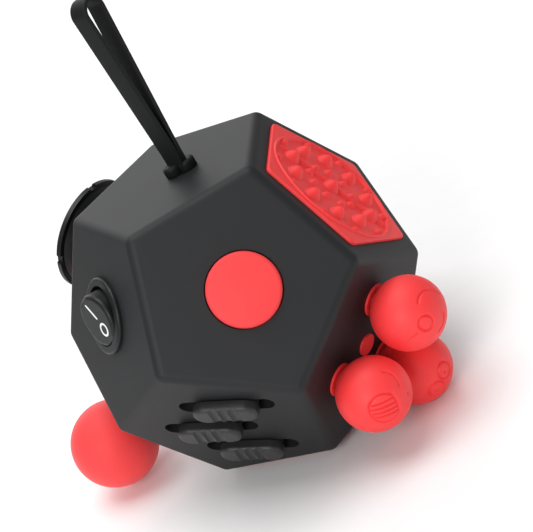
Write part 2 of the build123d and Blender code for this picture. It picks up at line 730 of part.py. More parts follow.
def make_spinner_pin():
    shoulder = BEARING_WIDTH - BEARING_DEPTH + 0.1
    return disc(1.6, FUSE, 2.0) + disc(BEARING_HUB_R, shoulder, FUSE) + disc(BEARING_BORE_R, -5.8, shoulder)


def bearing_race(outer, inner):
    """One race of the ball bearing, with its ball track."""
    middle = BEARING_WIDTH / 2 - BEARING_DEPTH
    track = Pos(0, 0, middle) * Torus(BALL_TRACK_R, 1 + RUNNING)
    return ring(outer, inner, -BEARING_DEPTH, BEARING_WIDTH - BEARING_DEPTH) - track


def make_bearing_balls():
    places = around(BALL_TRACK_R, range(0, 360, 360 // BEARING_BALLS))
    return spread(Pos(0, 0, BEARING_WIDTH / 2 - BEARING_DEPTH) * Sphere(1.0), places)


def make_bearing_cup():
    """The seat for the bearing's outer race, screwed behind the wall."""
    cup = ring(BEARING_R + 1.4, BEARING_R, -SPINNER_PLATE - RUNNING, INSIDE)
    plate = retaining_plate(11.0, SPINNER_PLATE, SPINNER_BOSSES) - disc(4.4, -9, 0)
    lip = ring(BEARING_R + 0.5, 4.9, -SPINNER_PLATE - RUNNING, -BEARING_DEPTH)
    return cup + plate + lip


# ---------------------------------------------------------------- strap
def make_strap_loop():
    """Two limbs that lie together at the root and part into a rounded eye at the top."""
    half = STRAP_SPREAD / 2
    low = COLLAR_HEIGHT
    knee = low + STRAP_HEIGHT * STRAP_EYE_FROM
    top = low + STRAP_HEIGHT - half
    waist = STRAP_THICK + 0.15
    left = Polyline((-STRAP_THICK, low), (-waist, knee), (-half, top))
    crown = ThreePointArc((-half, top), (0, top + half), (half, top))
    right = Polyline((half, top), (waist, knee), (STRAP_THICK, low), (-STRAP_THICK, low))
    profile = make_face(left + crown + right)
    eye = half - STRAP_THICK
    eye_left = Polyline((0, knee + 1), (-eye, top))
    eye_crown = ThreePointArc((-eye, top), (0, top + eye), (eye, top))
    eye_right = Polyline((eye, top), (0, knee + 1))
    profile = profile - make_face(eye_left + eye_crown + eye_right)
    loop = Rot(90, 0, 0) * extrude(profile, STRAP_WIDTH / 2, both=True)
    barrel = Pos(0, 0, low) * Rot(90, 0, 0) * Cylinder(STRAP_THICK, STRAP_WIDTH)
    return Rot(0, 0, 90) * (loop + barrel)


def make_cross_pin(length):
    return Pos(0, 0, -CROSS_PIN_DEPTH) * Rot(90, 0, 0) * Cylinder(CROSS_PIN_R, length)


def make_strap_root():
    """The moulded root: a round-ended collar outside, a stem through the wall and a hole for its pin."""
    collar = stadium(STRAP_ROOT_LENGTH, STRAP_ROOT_WIDTH, 0, COLLAR_HEIGHT)
    collar = fillet(collar.edges().group_by(Axis.Z)[-1], 0.7)
    stem = stadium(STRAP_ROOT_WIDTH, STRAP_STEM_WIDTH, -4.6, 0.2)
    groove = Rot(0, 90, 0) * Cylinder(STRAP_THICK + 0.08, STRAP_WIDTH + 0.6)
    return collar + stem - Pos(0, 0, COLLAR_HEIGHT) * groove - make_cross_pin(10)


# ---------------------------------------------------------------- the whole toy
def build():
    nodes = {}
    nodes["front_shell"], nodes["rear_shell"] = make_shells()
    screws = [shell_screw("pad", at) for at, _ in PAD_SCREWS]
    screws += [shell_screw("worry", at) for at, _ in WORRY_SCREWS]
    nodes["shell_screws"] = Compound(screws)

    spring = coil(BUTTON_SPRING_R, SPRING_WIRE, -BUTTON_PLATE, -BUTTON_SKIN - RUNNING, 6)
    nodes["click_button"] = place("button", make_click_button(), BUTTON_AT)
    nodes["button_guide"] = place("button", make_button_guide(), BUTTON_AT)
    nodes["button_spring"] = place("button", spring, BUTTON_AT)

    rocker = {
        "bezel": make_rocker_bezel(),
        "paddle": tip(make_rocker_paddle(), -ROCKER_THROW),
        "pin": rocker_bore(ROCKER_PIN_R, 2 * ROCKER_BODY_R - 0.4),
        "leaf": block(9.0, 3.0, -ROCKER_WELL, -ROCKER_WELL + 0.4),
    }
    for name, shape in rocker.items():
        nodes[f"rocker_{name}"] = place("rocker", shape, ROCKER_AT, ROCKER_TURN)

    for i, at in enumerate(SLOT_CENTRES, 1):
        nodes[f"slider_grip_{i}"] = place("sliders", make_slider_grip(), at, SLOT_TURN)
        nodes[f"slider_shoe_{i}"] = place("sliders", make_slider_shoe(), at, SLOT_TURN)
    nodes["slider_tray"] = place("sliders", retaining_plate(13.6, SLIDER_PLATE, SLIDER_BOSSES))

    for i, angle in enumerate(BALL_ANGLES, 1):
        nodes[f"squeeze_ball_{i}"] = place("balls", make_squeeze_ball(), polar(BALL_RING_R, angle))
    nodes["ball_collars"] = place("balls", make_ball_collars())
    nodes["ball_stud"] = place("balls", make_ball_stud())
    nodes["ball_plate"] = place("balls", retaining_plate(13.0, BALL_PLATE, BALL_BOSSES))

    nodes["nub_pad"] = place("pad", make_nub_pad())
    nodes["worry_pad"] = place("worry", make_worry_pad())

    step = WHEEL_WIDTH + WHEEL_GAP
    for i, offset in enumerate((-step, 0, step), 1):
        nodes[f"thumb_wheel_{i}"] = place("wheels", make_wheel(offset), WHEEL_AT)
    nodes["wheel_axle"] = place("wheels", make_axle(2 * (CHEEK_AT + CHEEK)), WHEEL_AT)
    nodes["wheel_frame"] = place("wheels", make_wheel_frame())
    nodes["roller_ball"] = place("wheels", Pos(0, 0, -ROLLER_DEPTH) * Sphere(ROLLER_R), ROLLER_AT)

    nodes["dial_cap"] = place("dial", make_dial_cap())
    nodes["dial_pad"] = place("dial", make_dial_pad())
    nodes["dial_shaft"] = place("dial", disc(DIAL_SHAFT_R, -DETENT_TOP - 1.2, DIAL_SOCKET))
    nodes["dial_bush"] = place("dial", make_dial_bush())
    nodes["dial_nut"] = place("dial", make_dial_nut())
    nodes["detent_wheel"] = place("dial", make_detent_wheel())
    nodes["detent_leaf"] = place("dial", make_detent_leaf())

    nodes["joystick_knob"] = place("joystick", make_joystick_knob())
    nodes["joystick_stem"] = place("joystick", make_joystick_stem())
    nodes["gimbal_ring"] = place("joystick", make_gimbal_ring())
    nodes["joystick_cradle"] = place("joystick", make_joystick_cradle())
    nodes["joystick_spring"] = place("joystick", coil(2.4, SPRING_WIRE, -11.5, -6.4, 6))

    for i, at in enumerate(around(FIVE_RING_R, FIVE_ANGLES), 1):
        nodes[f"small_button_{i}"] = place("five", make_small_button(), at)
    nodes["dome_sheet"] = place("five", make_dome_sheet())
    nodes["five_plate"] = place("five", retaining_plate(13.0, FIVE_PLATE, FIVE_BOSSES))

    nodes["spinner_disc"] = place("spinner", make_spinner_disc())
    nodes["spinner_pin"] = place("spinner", make_spinner_pin())
    nodes["bearing_outer"] = place("spinner", bearing_race(BEARING_R, BEARING_RACE_R))
    nodes["bearing_inner"] = place("spinner", bearing_race(BEARING_HUB_R, BEARING_BORE_R))
    nodes["bearing_balls"] = place("spinner", make_bearing_balls())
    nodes["bearing_cup"] = place("spinner", make_bearing_cup())

    nodes["strap_loop"] = place("strap", make_strap_loop(), STRAP_AT, STRAP_TURN)
    nodes["strap_root"] = place("strap", make_strap_root(), STRAP_AT, STRAP_TURN)
    nodes["strap_pin"] = place("strap", make_cross_pin(7.0), STRAP_AT, STRAP_TURN)

    plates = (("button", BUTTON_BOSSES, BUTTON_PLATE), ("sliders", SLIDER_BOSSES, SLIDER_PLATE),
              ("balls", BALL_BOSSES, BALL_PLATE), ("wheels", WHEEL_BOSSES, WHEEL_PLATE),
              ("joystick", JOYSTICK_BOSSES, JOYSTICK_PLATE), ("five", FIVE_BOSSES, FIVE_PLATE),
              ("spinner", SPINNER_BOSSES, SPINNER_PLATE))
    screws = []
    for face, places, depth in plates:
        one = screw(-depth - PLATE, PLATE + SCREW_BITE)
        screws += [place(face, Pos(x, y, 0) * one) for x, y in places]
    nodes["plate_screws"] = Compound(screws)
    return nodes


for name, shape in build().items():
    solids = shape.solids()
    export_step(solids[0] if len(solids) == 1 else Compound(solids), f"parts/{name}.step")
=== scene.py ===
import math

import bmesh
import bpy
import numpy as np
from mathutils import Matrix, Vector


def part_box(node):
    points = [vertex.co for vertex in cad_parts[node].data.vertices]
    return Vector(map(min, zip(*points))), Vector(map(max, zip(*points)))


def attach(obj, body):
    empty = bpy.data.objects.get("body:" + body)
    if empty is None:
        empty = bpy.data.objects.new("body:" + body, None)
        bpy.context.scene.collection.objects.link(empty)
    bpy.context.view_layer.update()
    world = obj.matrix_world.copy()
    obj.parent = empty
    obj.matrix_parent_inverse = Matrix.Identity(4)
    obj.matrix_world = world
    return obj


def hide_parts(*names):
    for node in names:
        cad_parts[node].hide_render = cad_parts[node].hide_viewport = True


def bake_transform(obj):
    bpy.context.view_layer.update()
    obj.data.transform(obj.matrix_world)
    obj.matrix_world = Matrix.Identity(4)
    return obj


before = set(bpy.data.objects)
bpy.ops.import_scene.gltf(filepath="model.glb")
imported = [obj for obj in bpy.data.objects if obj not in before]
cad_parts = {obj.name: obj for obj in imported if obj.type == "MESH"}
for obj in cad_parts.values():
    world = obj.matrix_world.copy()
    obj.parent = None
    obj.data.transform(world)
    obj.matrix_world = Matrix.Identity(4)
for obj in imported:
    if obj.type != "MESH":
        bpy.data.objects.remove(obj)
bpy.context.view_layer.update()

# A twelve-sided fidget toy. Everything below is in metres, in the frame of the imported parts. A new
# piece is drawn in millimetres in the frame of its own face of the toy: x and y lie in the face, z
# points out of it, and z = 0 is the outside of the wall.
MM = 0.001


# ---------------------------------------------------------------- shell
# The two halves of the body are injection moulded in charcoal ABS, with a spark-eroded texture so
# fine that it only takes the shine off. Four countersunk screws hold the halves together.
shell_low = min(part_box("front_shell")[0].z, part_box("rear_shell")[0].z)
shell_high = max(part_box("front_shell")[1].z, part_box("rear_shell")[1].z)
INRADIUS = (shell_high - shell_low) / 2
CENTRE = Vector((0, 0, (shell_high + shell_low) / 2))
UPPER = 1 / math.sqrt(5)    # the rise of the five upper faces; the five lower ones have its negative


def colour(code):
    """An sRGB hex value as linear red, green, blue and alpha."""
    channels = [int(code[i:i + 2], 16) / 255 for i in (0, 2, 4)]
    linear = [c / 12.92 if c <= 0.04045 else ((c + 0.055) / 1.055) ** 2.4 for c in channels]
    return (*linear, 1.0)


def add(tree, kind, inputs=None, **settings):
    """Adds one node, with its settings, and sets each input to a value or links it to an output."""
    node = tree.nodes.new(kind)
    for name, value in settings.items():
        setattr(node, name, value)
    for key, value in (inputs or {}).items():
        if isinstance(value, bpy.types.NodeSocket):
            tree.links.new(value, node.inputs[key])
        else:
            node.inputs[key].default_value = value
    return node


def moulded(name, dark, light, roughness, grain, relief, **surface):
    """A moulded surface: a colour that drifts between two shades, and a texture of grains that many
    millimetres across and that deep, which also breaks up the shine."""
    material = bpy.data.materials.new(name)
    material.use_nodes = True
    tree = material.node_tree
    tree.nodes.clear()
    where = add(tree, "ShaderNodeTexCoord").outputs["Object"]
    drift = add(tree, "ShaderNodeTexNoise", {"Vector": where, "Scale": 1 / (9 * MM), "Detail": 3.0})
    shade = add(tree, "ShaderNodeValToRGB", {"Fac": drift.outputs["Fac"]})
    shade.color_ramp.elements[0].position = 0.35
    shade.color_ramp.elements[0].color = colour(dark)
    shade.color_ramp.elements[1].position = 0.65
    shade.color_ramp.elements[1].color = colour(light)
    grains = add(tree, "ShaderNodeTexNoise", {"Vector": where, "Scale": 1 / (grain * MM), "Detail": 2.0})
    shine = add(tree, "ShaderNodeMapRange", {"Value": grains.outputs["Fac"],
                                             "From Min": 0.3, "From Max": 0.7,
                                             "To Min": roughness - 0.05, "To Max": roughness + 0.05})
    bump = add(tree, "ShaderNodeBump", {"Height": grains.outputs["Fac"], "Strength": 1.0,
                                        "Distance": relief * MM})
    skin = add(tree, "ShaderNodeBsdfPrincipled", {"Base Color": shade.outputs["Color"],
                                                  "Roughness": shine.outputs["Result"],
                                                  "Normal": bump.outputs["Normal"], **surface})
    add(tree, "ShaderNodeOutputMaterial", {"Surface": skin.outputs["BSDF"]})
    return material


def give(material, *nodes):
    """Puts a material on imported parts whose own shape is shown."""
    for name in nodes:
        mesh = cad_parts[name].data
        mesh.materials.clear()
        mesh.materials.append(material)


# Charcoal ABS with an eroded mould texture: a soft grey bloom at a glancing angle, no clear reflection.
charcoal_abs = moulded("charcoal_abs", "1C1D1F", "1E1F21", 0.56, 0.16, 0.006,
                       **{"Specular IOR Level": 0.36})
give(charcoal_abs, "front_shell", "rear_shell")


def face_frame(azimuth, rise):
    """The frame of the face that looks that way: azimuth is from +X, and rise is its normal's z."""
    turn = math.radians(azimuth)
    flat = math.sqrt(1 - rise * rise)
    normal = Vector((flat * math.cos(turn), flat * math.sin(turn), rise))
    up = Vector((0, 1, 0)) if flat < 0.01 else (Vector((0, 0, 1)) - normal * rise).normalized()
    matrix = Matrix((up.cross(normal), up, normal)).transposed().to_4x4()
    matrix.translation = CENTRE + normal * INRADIUS
    return matrix


def at(face, x, y, turn=0.0, depth=0.0):
    """A place in a face's frame, in millimetres, turned in the face by an angle in degrees."""
    place = Matrix.Translation(Vector((x, y, depth)) * MM)
    return face @ place @ Matrix.Rotation(math.radians(turn), 4, "Z")


# ---------------------------------------------------------------- screws, plates and springs inside
# Zinc-plated steel screws, steel springs and pins, and the natural nylon plates and runners that
# they hold behind the faces. They show only when the toy is opened.
def metal(name, code, roughness, groove, **surface):
    """A turned or drawn metal: fine lines that many millimetres apart, across the part's own length."""
    material = bpy.data.materials.new(name)
    material.use_nodes = True
    tree = material.node_tree
    tree.nodes.clear()
    where = add(tree, "ShaderNodeTexCoord").outputs["Object"]
    lines = add(tree, "ShaderNodeTexNoise", {"Vector": where, "Scale": 1 / (groove * MM), "Detail": 4.0})
    shine = add(tree, "ShaderNodeMapRange", {"Value": lines.outputs["Fac"], "To Min": roughness * 0.7,
                                             "To Max": roughness * 1.3})
    bump = add(tree, "ShaderNodeBump", {"Height": lines.outputs["Fac"], "Strength": 0.5,
                                        "Distance": 0.004 * MM})
    skin = add(tree, "ShaderNodeBsdfPrincipled", {"Base Color": colour(code), "Metallic": 1.0,
                                                  "Roughness": shine.outputs["Result"],
                                                  "Normal": bump.outputs["Normal"], **surface})
    add(tree, "ShaderNodeOutputMaterial", {"Surface": skin.outputs["BSDF"]})
    return material


# Zinc-plated steel: a light grey metal with a soft, slightly streaky shine.
plated_steel = metal("zinc_plated_steel", "B8BABC", 0.32, 0.25)
give(plated_steel, "shell_screws", "plate_screws", "button_spring", "rocker_pin", "rocker_leaf", "wheel_axle",
     "dial_shaft", "detent_leaf", "joystick_stem", "joystick_spring", "bearing_outer", "bearing_inner",
     "bearing_balls", "spinner_pin", "strap_pin")

# Natural nylon 6: off-white and waxy, a little light passes into it.
natural_nylon = moulded("natural_nylon", "D3CFC2", "DCD8CC", 0.42, 0.5, 0.004,
                        **{"Subsurface Weight": 0.15, "Subsurface Scale": 1.0 * MM})
give(natural_nylon, "button_guide", "slider_tray", "slider_shoe_1", "slider_shoe_2", "slider_shoe_3",
     "ball_plate", "wheel_frame", "dial_nut", "detent_wheel", "joystick_cradle", "gimbal_ring", "five_plate",
     "bearing_cup")


# ---------------------------------------------------------------- large click button
# A thumb button moulded in red ABS with a soft-touch coat, almost flat with a rounded edge. It
# drops 1.5 mm against a spring, and its flange keeps it in its hole.
def loft(rings, closed=False):
    """Points and faces of a skin through rings of the same number of points. A closed one is a loop."""
    count = len(rings[0])
    spans = len(rings) - (0 if closed else 1)
    faces = []
    for i in range(spans):
        this, other = i * count, (i + 1) % len(rings) * count
        faces += [(this + j, this + (j + 1) % count, other + (j + 1) % count, other + j)
                  for j in range(count)]
    return [tuple(point) for ring in rings for point in ring], faces


def piece(name, skin, where, material, crease=40):
    """A closed mesh from points in millimetres in a face's frame, merged, turned outwards and smoothed."""
    points, faces = skin
    mesh = bpy.data.meshes.new(name)
    mesh.from_pydata([where @ (Vector(point) * MM) for point in points], [], faces)
    build = bmesh.new()
    build.from_mesh(mesh)
    bmesh.ops.remove_doubles(build, verts=build.verts, dist=0.002 * MM)
    bmesh.ops.recalc_face_normals(build, faces=build.faces)
    build.to_mesh(mesh)
    build.free()
    mesh.shade_smooth()
    mesh.set_sharp_from_angle(angle=math.radians(crease))
    mesh.materials.append(material)
    obj = bpy.data.objects.new(name, mesh)
    bpy.context.scene.collection.objects.link(obj)
    return obj


def arc(middle, radius, start, end, steps=8):
    """Points along part of a circle in a profile, between two angles in degrees."""
    turns = [math.radians(start + (end - start) * i / steps) for i in range(steps + 1)]
    return [(middle[0] + radius * math.cos(turn), middle[1] + radius * math.sin(turn)) for turn in turns]


def turned(profile, steps=128):
    """A skin of revolution from a profile of (radius, height) that starts and ends on the axis."""
    angles = [2 * math.pi * i / steps for i in range(steps)]
    return loft([[(r * math.cos(a), r * math.sin(a), z) for a in angles] for r, z in profile])


# Red ABS under a soft-touch coat: an even, milky red with hardly any highlight.
soft_touch_red = moulded("soft_touch_red_abs", "F83A3C", "FB3E40", 0.62, 0.12, 0.004,
                         **{"Sheen Weight": 0.12, "Sheen Roughness": 0.5})

BUTTON_FACE = face_frame(-90, UPPER)
BUTTON_PLACE = (0.58, -0.82)
BUTTON_R = 7.25
BUTTON_PROUD = 1.5
BUTTON_EDGE = 0.8
CROWN_DROP = 0.35
FLANGE_R = 8.5
FLANGE_TOP = -2.5
FLANGE_LOW = -3.6
HOLLOW_R = 5.4
HOLLOW_TOP = -0.9
crown_half = BUTTON_R - 0.75
crown_r = (crown_half ** 2 + CROWN_DROP ** 2) / (2 * CROWN_DROP)
crown_turn = math.degrees(math.asin(crown_half / crown_r))
button_profile = arc((0, BUTTON_PROUD - crown_r), crown_r, 90, 90 - crown_turn, 12)
button_profile += arc((BUTTON_R - BUTTON_EDGE, BUTTON_PROUD - 1.15), BUTTON_EDGE, 80, 0, 8)
button_profile += [(BUTTON_R, FLANGE_TOP), (FLANGE_R, FLANGE_TOP), (FLANGE_R, FLANGE_LOW),
                   (HOLLOW_R, FLANGE_LOW), (HOLLOW_R, HOLLOW_TOP), (0, HOLLOW_TOP)]
click_button = piece("thumb_button", turned(button_profile), at(BUTTON_FACE, *BUTTON_PLACE),
                     soft_touch_red)
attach(click_button, "click_button")
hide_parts("click_button")


# ---------------------------------------------------------------- round rocker switch
# A bought-in power switch: a round black bezel with a snap-in barrel, and a paddle that tips 32
# degrees on a steel pin. Its top is two slopes in a shallow valley, with white on and off marks.
# Black ABS straight from a satin mould: deep black with a dull, even sheen.
satin_black_abs = moulded("satin_black_abs", "121314", "151617", 0.42, 0.3, 0.003,
                          **{"Specular IOR Level": 0.36})
give(satin_black_abs, "rocker_bezel", "dial_bush")
# White marking foil: flat, clean white, thinner than paper.
marking_foil = moulded("white_marking_foil", "F4F4F2", "FAFAF8", 0.5, 0.4, 0.001)

ROCKER_FACE = face_frame(198, UPPER)
THROW = 16.0
PIN_DEPTH = 0.6
PADDLE_R = 5.5
SWEEP_R = 5.85
PADDLE_TOP = 2.4
PADDLE_LOW = -3.0
VALLEY = math.radians(3)
PADDLE_EDGE = 0.8
PADDLE_STEPS = 192
FOIL = 0.05
FOIL_SUNK = -0.1
swing = (Matrix.Translation((0, 0, -PIN_DEPTH * MM)) @ Matrix.Rotation(math.radians(-THROW), 4, "Y")
         @ Matrix.Translation((0, 0, PIN_DEPTH * MM)))
stored = at(ROCKER_FACE, -0.4, 1.1, turn=127.0) @ swing


def circle(x, y, radius, steps=64):
    """Points round a circle."""
    return [(x + radius * math.cos(2 * math.pi * i / steps), y + radius * math.sin(2 * math.pi * i / steps))
            for i in range(steps)]


def paddle_height(x):
    """The paddle's top: two slopes that rise from a softened valley over the pin."""
    return PADDLE_TOP + math.tan(VALLEY) * (math.sqrt(x * x + 0.64) - 0.4)


def paddle_ring(inset, height):
    """One ring of the paddle, a circle cut off where it would touch the bezel as it swings."""
    reach = math.sqrt(SWEEP_R ** 2 - (height + PIN_DEPTH) ** 2)
    ring = []
    for x, y in circle(0, 0, 1.0, PADDLE_STEPS):
        radius = min(PADDLE_R, reach / max(abs(x), 0.001)) - inset
        ring.append((radius * x, radius * y, height))
    return ring


def on_paddle(ring, lift):
    """Lays an outline on the paddle's top, lifted by that much."""
    return [(x, y, paddle_height(x) + lift) for x, y in ring]


def bar(middle, length, half, turn, steps=64):
    """The outline of a round-ended bar about its middle, turned by an angle in degrees."""
    along = Vector((math.cos(math.radians(turn)), math.sin(math.radians(turn)))) * (length / 2)
    outline = []
    for x, y in circle(0, 0, half, steps):
        side = 1 if x * along.x + y * along.y > 0 else -1
        outline.append((middle[0] + x + side * along.x, middle[1] + y + side * along.y))
    return outline


paddle_rings = [[(0, 0, PADDLE_LOW)] * PADDLE_STEPS]
paddle_rings += [paddle_ring(0, z) for z in (PADDLE_LOW, -2.0, -0.6, 0.8, 1.6)]
for inset, drop in arc((PADDLE_EDGE, PADDLE_EDGE), PADDLE_EDGE, 180, 270, 6):
    ring = paddle_ring(inset, PADDLE_TOP - drop)
    paddle_rings.append([(x, y, paddle_height(x) - drop) for x, y, z in ring])
brim = paddle_rings[-1]
for k in range(19, -1, -1):
    paddle_rings.append(on_paddle([(x * k / 20, y * k / 20) for x, y, z in brim], 0))
paddle = piece("rocker_paddle_cap", loft(paddle_rings), stored, satin_black_abs)
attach(paddle, "rocker")
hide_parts("rocker_paddle")

ON_MIDDLE = (2.05, -0.5)
ON_LENGTH = 3.4
ON_HALF = 0.24
ON_TURN = 7
OFF_MIDDLE = (-2.4, -0.8)
OFF_R = 1.45
OFF_HOLE_R = 1.0
bar_rings = [on_paddle([ON_MIDDLE] * 64, FOIL_SUNK)]
bar_rings += [on_paddle(bar(ON_MIDDLE, ON_LENGTH, half, ON_TURN), lift)
              for half, lift in ((ON_HALF, FOIL_SUNK), (ON_HALF, FOIL), (0.18, FOIL + 0.01),
                                 (0, FOIL + 0.01))]
on_mark = piece("rocker_on_mark", loft(bar_rings), stored, marking_foil)
off_rings = [on_paddle(circle(*OFF_MIDDLE, radius), lift)
             for radius, lift in ((OFF_R, FOIL_SUNK), (OFF_R, FOIL), (OFF_HOLE_R, FOIL),
                                  (OFF_HOLE_R, FOIL_SUNK))]
off_mark = piece("rocker_off_mark", loft(off_rings, closed=True), stored, marking_foil)
for mark in (on_mark, off_mark):
    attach(mark, "rocker")


# ---------------------------------------------------------------- three sliding switches
# Charcoal ABS thumb pieces with three scalloped grooves across, each on a stem that runs in its
# slot against a nylon shoe. They slide 3 mm each way and stay where they are left.
SLIDER_FACE = face_frame(-126, -UPPER)
GRIP = (13.1, 5.5)
GRIP_STEM = (12.5, 3.5)
GRIP_STEM_LOW = -3.2
GRIP_TURN = -18
GRIP_LOW = 0.3
GRIP_PROUD = 2.5
GRIP_EDGE = 0.9
SCALLOPS = (-1.95, 0.0, 1.95)
SCALLOP_R = 1.1
SLOT_PLACES = ((5.4, 8.3), (-3.1, 1.4), (-0.3, -9.1))
# ABS from a fine satin mould, a shade lighter than the switch: soft highlights along the ribs.
grip_abs = moulded("charcoal_satin_abs", "232324", "262627", 0.45, 0.25, 0.003)


def stadium_ring(size, inset, z):
    """One ring of a round-ended bar, drawn in from its outline by that much."""
    straight = (size[0] - size[1]) / 2
    half = size[1] / 2 - inset
    right = [(straight + half * math.cos(a), half * math.sin(a))
             for a in (math.radians(-90 + 180 * i / 24) for i in range(24))]
    top = [(straight - 2 * straight * i / 72, half) for i in range(72)]
    return [(x, y, z) for x, y in right + top + [(-x, -y) for x, y in right + top]]


def scalloped(ring):
    """Lowers a ring of the grip where one of the grooves crosses it."""
    cut = []
    for x, y, z in ring:
        for middle in SCALLOPS:
            away = abs(x - middle)
            if away < SCALLOP_R:
                z = min(z, GRIP_PROUD + SCALLOP_R / 2 - math.sqrt(SCALLOP_R ** 2 - away ** 2))
        cut.append((x, y, z))
    return cut


grip_rings = [stadium_ring(GRIP_STEM, inset, z)
              for inset, z in ((GRIP_STEM[1] / 2, GRIP_STEM_LOW), (0, GRIP_STEM_LOW), (0, GRIP_LOW))]
grip_rings.append(stadium_ring(GRIP, 0, GRIP_LOW))
for inset, z in arc((GRIP_EDGE, GRIP_PROUD - GRIP_EDGE), GRIP_EDGE, 180, 90, 8):
    grip_rings.append(scalloped(stadium_ring(GRIP, inset, z)))
for k in range(1, 11):
    inset = GRIP_EDGE + (GRIP[1] / 2 - GRIP_EDGE) * k / 10
    grip_rings.append(scalloped(stadium_ring(GRIP, inset, GRIP_PROUD)))
for i, (x, y) in enumerate(SLOT_PLACES, 1):
    where = at(SLIDER_FACE, x, y, turn=GRIP_TURN)
    grip = piece(f"slider_cap_{i}", loft(grip_rings), where, grip_abs, crease=35)
    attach(grip, f"slider_{i}")
    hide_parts(f"slider_grip_{i}")


# ---------------------------------------------------------------- three soft balls
# Squeezable balls moulded in matte red silicone, each with a plain cartoon face sunk into it, on
# a neck that passes through a collar in the wall and ends in a barb.
BALL_FACE = face_frame(-54, -UPPER)
BALL_R = 7.44
BALL_HEIGHT = 7.75
BALL_RING_R = 9.75
BALL_ANGLES = (65, 185, 305)
BALL_STEPS = 320
BALL_RINGS = 170
NECK_R = 1.9
BARB = ((NECK_R, -2.8), (3.2, -2.8), (3.2, -3.4), (1.6, -4.3), (0, -4.3))
LINE_DEPTH = 0.4
LINE_HALF = 0.21
# Matte silicone: milky red, light goes a little way in, and the highlight is broad and faint.
red_silicone = moulded("matte_red_silicone", "F83739", "FB3B3D", 0.55, 0.2, 0.004,
                       **{"Subsurface Weight": 0.15, "Subsurface Radius": (1.0, 0.25, 0.2),
                          "Subsurface Scale": 1.2 * MM})
give(red_silicone, "ball_collars", "ball_stud")

# The lines of each face, in millimetres of arc from the top of its ball. The second one laughs: an
# open mouth with four lines of teeth across it.
MOUTH = (-4.6, 3.0)
laughing_mouth = arc(MOUTH, 3.3, 35, 325, 24)
teeth = [[(MOUTH[0] - 2.9, MOUTH[1] + y), (-1.9, MOUTH[1] + y)] for y in (-1.5, -0.5, 0.5, 1.5)]
BALL_FACES = (
    [arc((0.2, 4.6), 3.9, 5, 130, 16), arc((-3.4, 3.2), 1.6, 0, 360, 24),
     arc((-1.6, 2.6), 3.1, -80, -10, 12), [(-7.2, 0.6), (-5.8, 1.7)]],
    [laughing_mouth + [laughing_mouth[0]], arc((-1.2, 7.3), 2.8, -50, 50, 12),
     [(1.5, 2.4), (1.6, 2.6)]] + teeth,
    [arc((-0.1, 3.0), 1.8, 0, 360, 24), arc((-3.2, 0.2), 1.8, 0, 360, 24), [(-0.4, 2.7), (-0.3, 2.8)],
     [(-3.5, 0.0), (-3.4, 0.1)], arc((-6.2, -0.2), 3.2, 150, 210, 10)],
)


def line_depth(u, v, lines):
    """How deep the sunk lines are at points on the ball, from the nearest stretch of any line."""
    nearest = np.full(u.shape, 100.0)
    for line in lines:
        for (ax, ay), (bx, by) in zip(line, line[1:]):
            dx, dy = bx - ax, by - ay
            share = np.clip(((u - ax) * dx + (v - ay) * dy) / max(dx * dx + dy * dy, 1e-9), 0, 1)
            nearest = np.minimum(nearest, np.hypot(u - ax - share * dx, v - ay - share * dy))
    return LINE_DEPTH * np.exp(-(nearest / LINE_HALF) ** 2)


neck_turn = math.pi - math.asin(NECK_R / BALL_R)
around = np.linspace(0, 2 * math.pi, BALL_STEPS, endpoint=False)
down = np.linspace(0, neck_turn, BALL_RINGS)[:, None]
u_on_ball = BALL_R * down * np.cos(around)
v_on_ball = BALL_R * down * np.sin(around)
for i, (lines, angle) in enumerate(zip(BALL_FACES, BALL_ANGLES), 1):
    radius = BALL_R - line_depth(u_on_ball, v_on_ball, lines)
    ball = np.stack([radius * np.sin(down) * np.cos(around), radius * np.sin(down) * np.sin(around),
                     BALL_HEIGHT + radius * np.cos(down)], axis=2)
    ball_rings = [[tuple(point) for point in ring] for ring in ball.tolist()]
    ball_rings += [[(x, y, z) for x, y in circle(0, 0, r, BALL_STEPS)] for r, z in BARB]
    turn = math.radians(angle)
    where = at(BALL_FACE, BALL_RING_R * math.cos(turn), BALL_RING_R * math.sin(turn))
    soft_ball = piece(f"smiley_ball_{i}", loft(ball_rings), where, red_silicone, crease=60)
    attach(soft_ball, f"ball_{i}")
    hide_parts(f"squeeze_ball_{i}")


# ---------------------------------------------------------------- studded pad
# A five-sided red silicone mat bonded into its pocket, for the fingertips: rings of soft cones,
# with a thin raised circle round them and a thin rib across the middle.
PAD_FACE = face_frame(-18, UPPER)
PAD_R = 18.4
PAD_CORNER = 1.4
PAD_TURN = 54.0
PAD_PROUD = 0.7
POCKET = 1.0
PAD_BEVEL = 0.35
PAD_RINGS = 104
RECESS = 0.35
RIDGE_R = 13.9
RIDGE_HALF = 0.25
RIDGE_HEIGHT = 0.45
RIB = [(2.7, 12.2), (-1.6, -12.9)]
RIB_HALF = 0.28
RIB_HEIGHT = 0.6


def pad_reach(turn):
    """The distance from a pad's middle to its rounded outline, in that direction in radians."""
    off = abs((turn - math.radians(PAD_TURN) + math.pi / 5) % (2 * math.pi / 5) - math.pi / 5)
    corner = PAD_R - PAD_CORNER / math.sin(math.radians(54))
    side = PAD_CORNER * math.sin(math.pi / 5)
    if off < math.atan2(side, corner + PAD_CORNER * math.cos(math.pi / 5)):
        return corner * math.cos(off) + math.sqrt(PAD_CORNER ** 2 - (corner * math.sin(off)) ** 2)
    return PAD_R * math.cos(math.pi / 5) / math.cos(math.pi / 5 - off)


